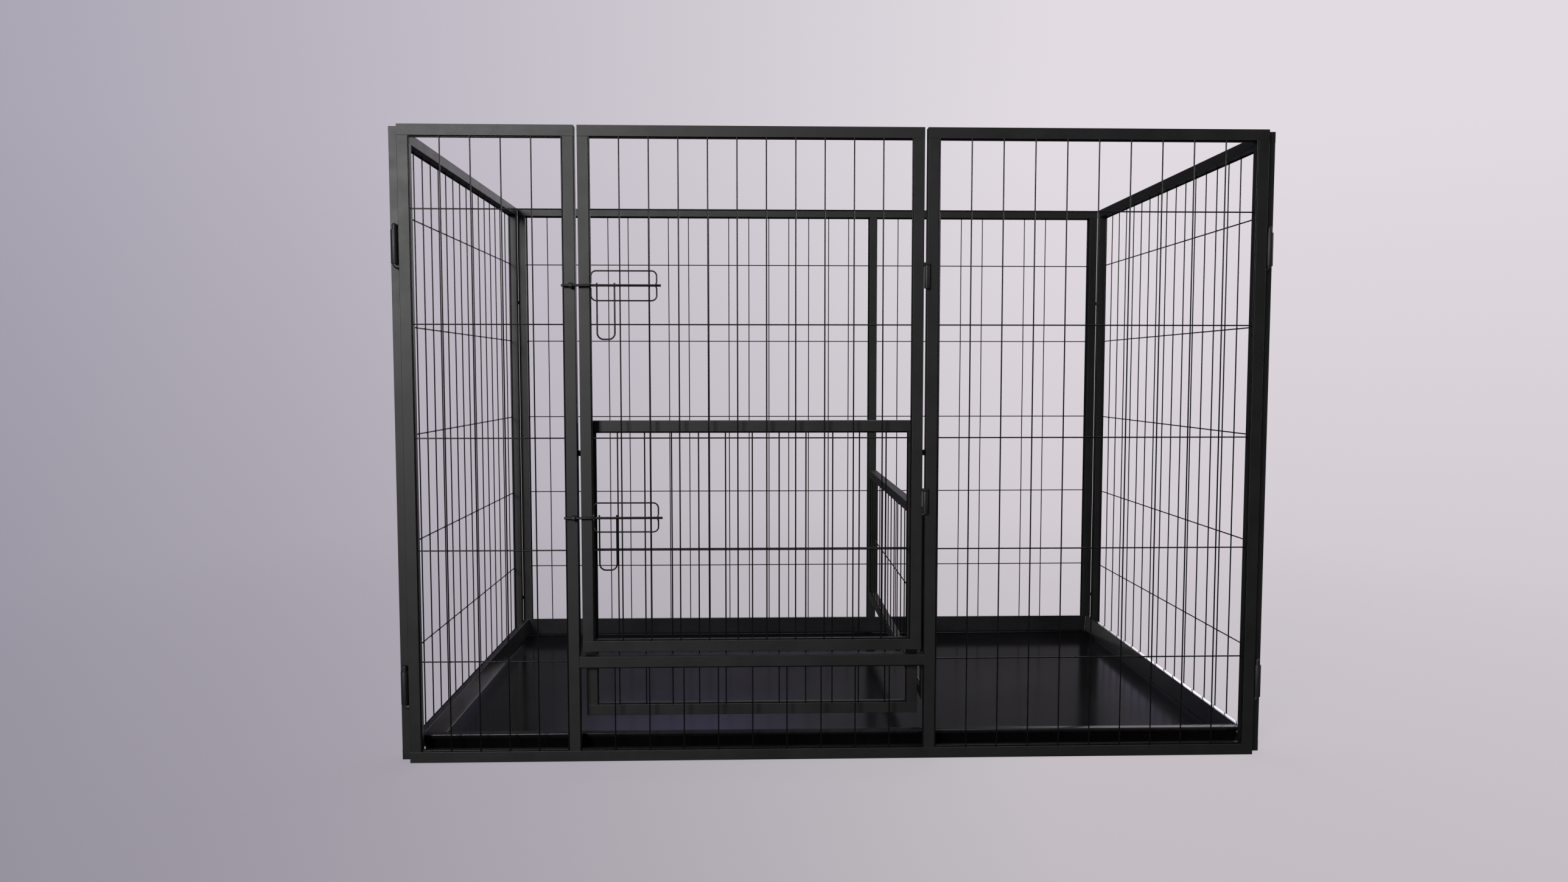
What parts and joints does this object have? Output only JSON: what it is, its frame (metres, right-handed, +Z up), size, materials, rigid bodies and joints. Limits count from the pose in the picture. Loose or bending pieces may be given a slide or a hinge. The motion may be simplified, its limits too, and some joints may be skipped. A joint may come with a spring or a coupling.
{
  "type": "dog run",
  "caption": "Free-standing indoor dog run of square steel tube panels with welded wire grilles, a bolted door over a step, an inner half gate, a low divider and a floor tray.",
  "frame": {"origin": "centre of the tray underside, on the floor, half way between the outer faces of the front and back panels", "axes": "+X to the right seen from the door side, +Y from the door side to the back panel, +Z up"},
  "size_m": [1.2826, 0.7913, 0.922],
  "materials": {
    "tube_coat": "satin charcoal powder coat",
    "wire_coat": "satin charcoal powder coat on drawn wire",
    "hardware_coat": "satin charcoal powder coat, slightly rubbed",
    "tray_plastic": "smooth satin black"
  },
  "bodies": {
    "frame": {"back_bottom_rail": "tube_coat", "back_left_mesh": "wire_coat", "back_left_post": "tube_coat", "back_mid_post": "tube_coat", "back_right_mesh": "wire_coat", "back_right_post": "tube_coat", "back_top_rail": "tube_coat", "front_bottom_rail": "tube_coat", "front_left_mesh": "wire_coat", "front_left_post": "tube_coat", "front_left_top_rail": "tube_coat", "front_low_mesh": "wire_coat", "front_low_rail": "tube_coat", "front_mid_left_post": "tube_coat", "front_mid_right_post": "tube_coat", "front_right_mesh": "wire_coat", "front_right_post": "tube_coat", "front_right_top_rail": "tube_coat", "bolt_keepers": "hardware_coat", "corner_pins": "hardware_coat", "door_hinge_barrels": "hardware_coat", "gate_sockets": "hardware_coat", "divider_sockets": "hardware_coat", "tray": "tray_plastic"},
    "left_panel": {"left_bottom_rail": "tube_coat", "left_corner_barrels": "hardware_coat", "left_front_post": "tube_coat", "left_mesh": "wire_coat", "left_rear_post": "tube_coat", "left_top_rail": "tube_coat"},
    "right_panel": {"right_bottom_rail": "tube_coat", "right_corner_barrels": "hardware_coat", "right_front_post": "tube_coat", "right_mesh": "wire_coat", "right_rear_post": "tube_coat", "right_top_rail": "tube_coat"},
    "door": {"door_latch_stile": "tube_coat", "door_hinge_stile": "tube_coat", "door_top_rail": "tube_coat", "door_bottom_rail": "tube_coat", "door_mesh": "wire_coat", "door_hinge_pins": "hardware_coat", "bolt_guides": "hardware_coat"},
    "upper_bolt": {"upper_bolt_rod": "hardware_coat"},
    "lower_bolt": {"lower_bolt_rod": "hardware_coat"},
    "upper_handle": {"upper_bolt_handle": "hardware_coat"},
    "lower_handle": {"lower_bolt_handle": "hardware_coat"},
    "gate": {"gate_bottom_rail": "tube_coat", "gate_hooks": "hardware_coat", "gate_left_post": "tube_coat", "gate_mesh": "wire_coat", "gate_right_post": "tube_coat", "gate_top_rail": "tube_coat"},
    "divider": {"divider_bottom_rail": "tube_coat", "divider_front_post": "tube_coat", "divider_mesh": "wire_coat", "divider_pins": "hardware_coat", "divider_rear_post": "tube_coat", "divider_top_rail": "tube_coat"}
  },
  "joints": [
    {"name": "door_swing", "type": "hinge", "parent": "frame", "child": "door", "pos_m": [0.1284, -0.3945, 0.55], "axis": [0, 0, 1], "range_deg": [0, 170]},
    {"name": "upper_bolt_slide", "type": "slide", "parent": "door", "child": "upper_bolt", "axis": [1, 0, 0], "range_m": [-0.006, 0.037]},
    {"name": "lower_bolt_slide", "type": "slide", "parent": "door", "child": "lower_bolt", "axis": [1, 0, 0], "range_m": [-0.006, 0.037]},
    {"name": "upper_handle_turn", "type": "hinge", "parent": "upper_bolt", "child": "upper_handle", "pos_m": [-0.33, -0.39702, 0.6954], "axis": [-1, 0, 0], "range_deg": [0, 175]},
    {"name": "lower_handle_turn", "type": "hinge", "parent": "lower_bolt", "child": "lower_handle", "pos_m": [-0.33, -0.39702, 0.3616], "axis": [-1, 0, 0], "range_deg": [0, 175]},
    {"name": "gate_lift", "type": "slide", "parent": "frame", "child": "gate", "axis": [0, 0, 1], "range_m": [0, 0.87]},
    {"name": "divider_lift", "type": "slide", "parent": "frame", "child": "divider", "axis": [0, 0, 1], "range_m": [0, 0.87]},
    {"name": "left_panel_lift", "type": "slide", "parent": "frame", "child": "left_panel", "axis": [0, 0, 1], "range_m": [0, 0.07]},
    {"name": "right_panel_lift", "type": "slide", "parent": "frame", "child": "right_panel", "axis": [0, 0, 1], "range_m": [0, 0.07]}
  ]
}
